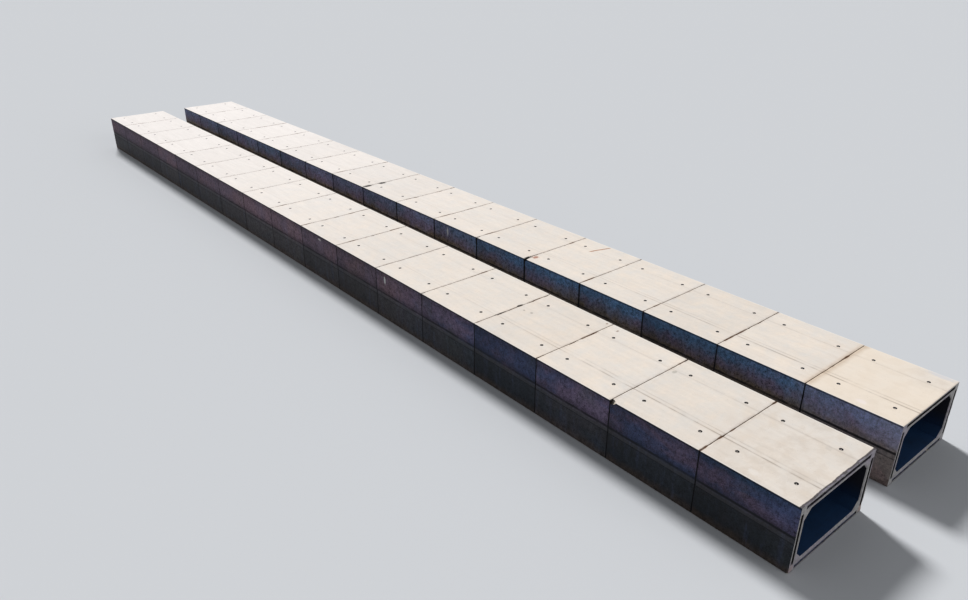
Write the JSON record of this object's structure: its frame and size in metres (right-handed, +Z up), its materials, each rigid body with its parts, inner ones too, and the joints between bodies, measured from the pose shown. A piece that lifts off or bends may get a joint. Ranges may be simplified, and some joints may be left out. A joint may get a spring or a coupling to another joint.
{
  "type": "1:2 scale model of a twin box culvert",
  "caption": "Twin barrels of precast concrete box sections laid end to end, with keyed open ends, sealed tongue joints and lifting pockets in the roof, at half of the real size.",
  "frame": {"origin": "on the bed, under the middle of the whole culvert", "axes": "+X across the two runs towards the right run, +Y along the barrels from the near ends to the far ends, +Z up"},
  "size_m": [3.4544, 20.574, 0.8128],
  "materials": {
    "concrete": "matte, cast against steel forms",
    "joint_sealant": "matte",
    "anchor_steel": "forged, dusty, with a little rust"
  },
  "bodies": {
    "root": {"left_run_section_01": "concrete", "left_run_section_02": "concrete", "left_run_section_03": "concrete", "left_run_section_04": "concrete", "left_run_section_05": "concrete", "left_run_section_06": "concrete", "left_run_section_07": "concrete", "left_run_section_08": "concrete", "left_run_section_09": "concrete", "left_run_section_10": "concrete", "left_run_section_11": "concrete", "left_run_section_12": "concrete", "left_run_section_13": "concrete", "left_run_section_14": "concrete", "left_run_section_15": "concrete", "left_run_section_16": "concrete", "left_run_section_17": "concrete", "right_run_section_01": "concrete", "right_run_section_02": "concrete", "right_run_section_03": "concrete", "right_run_section_04": "concrete", "right_run_section_05": "concrete", "right_run_section_06": "concrete", "right_run_section_07": "concrete", "right_run_section_08": "concrete", "right_run_section_09": "concrete", "right_run_section_10": "concrete", "right_run_section_11": "concrete", "right_run_section_12": "concrete", "right_run_section_13": "concrete", "right_run_section_14": "concrete", "right_run_section_15": "concrete", "right_run_section_16": "concrete", "right_run_section_17": "concrete", "left_run_joint_seals": "joint_sealant", "right_run_joint_seals": "joint_sealant"}
  },
  "joints": []
}
